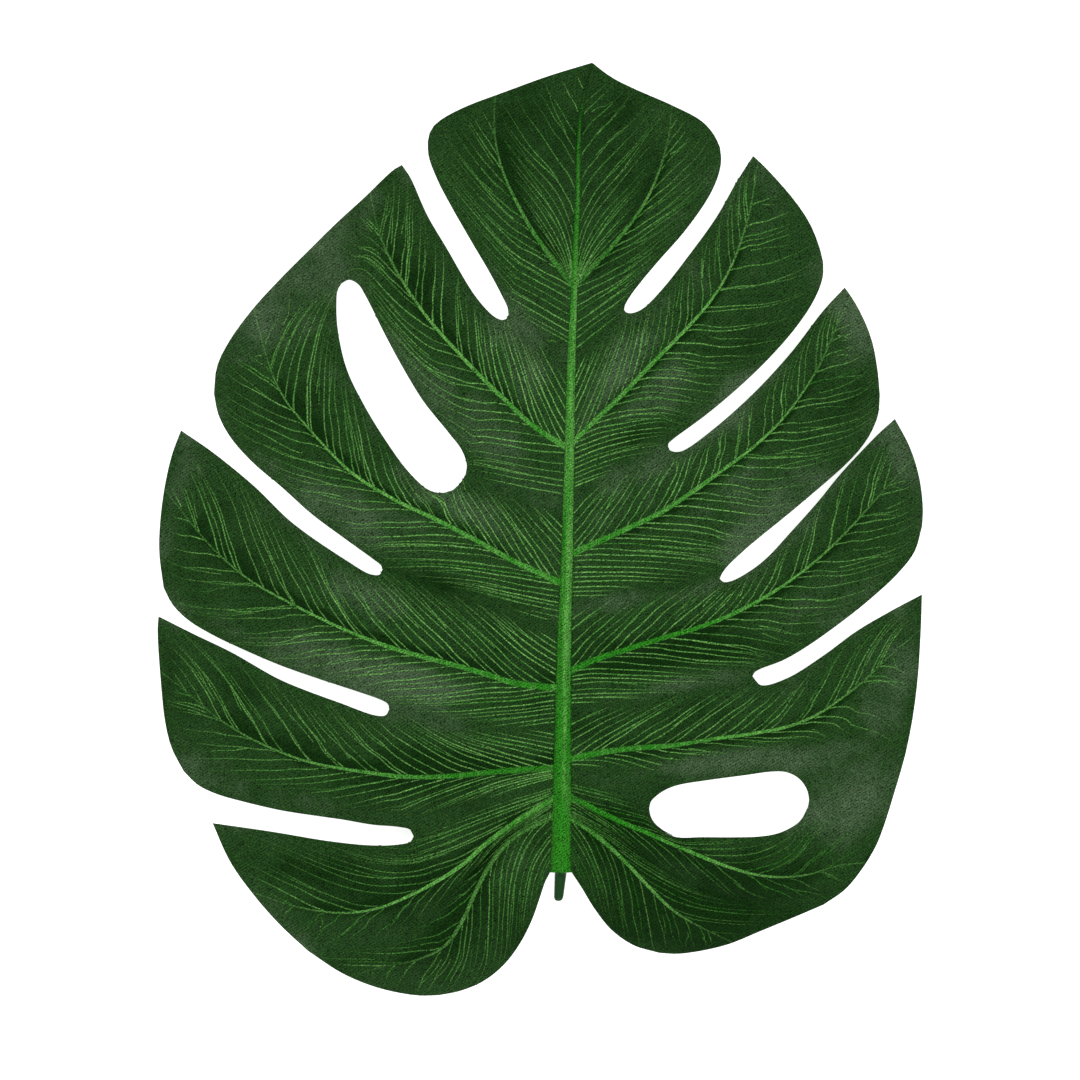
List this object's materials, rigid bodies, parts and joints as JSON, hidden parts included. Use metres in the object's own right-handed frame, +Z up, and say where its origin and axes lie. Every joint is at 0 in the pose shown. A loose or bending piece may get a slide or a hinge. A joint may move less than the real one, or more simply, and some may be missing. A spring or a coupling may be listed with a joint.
{
  "type": "artificial monstera leaf",
  "caption": "Large split artificial leaf of printed satin cloth, pressed into low relief, on a moulded plastic rib frame that ends in a short tail.",
  "frame": {"origin": "under the middle of the leaf's box, on the surface that it lies on", "axes": "+Y from the base to the apex, +Z up out of the printed face, +X to the right of the face"},
  "size_m": [0.2871, 0.3498, 0.0114],
  "materials": {
    "satin_cloth": "printed satin weave, dark green with lighter printed veins, soft sheen",
    "moulded_plastic": "moulded dark green polyethylene, satin smooth"
  },
  "bodies": {
    "root": {"leaf_blade": "satin_cloth", "rib_frame": "moulded_plastic"}
  },
  "joints": []
}
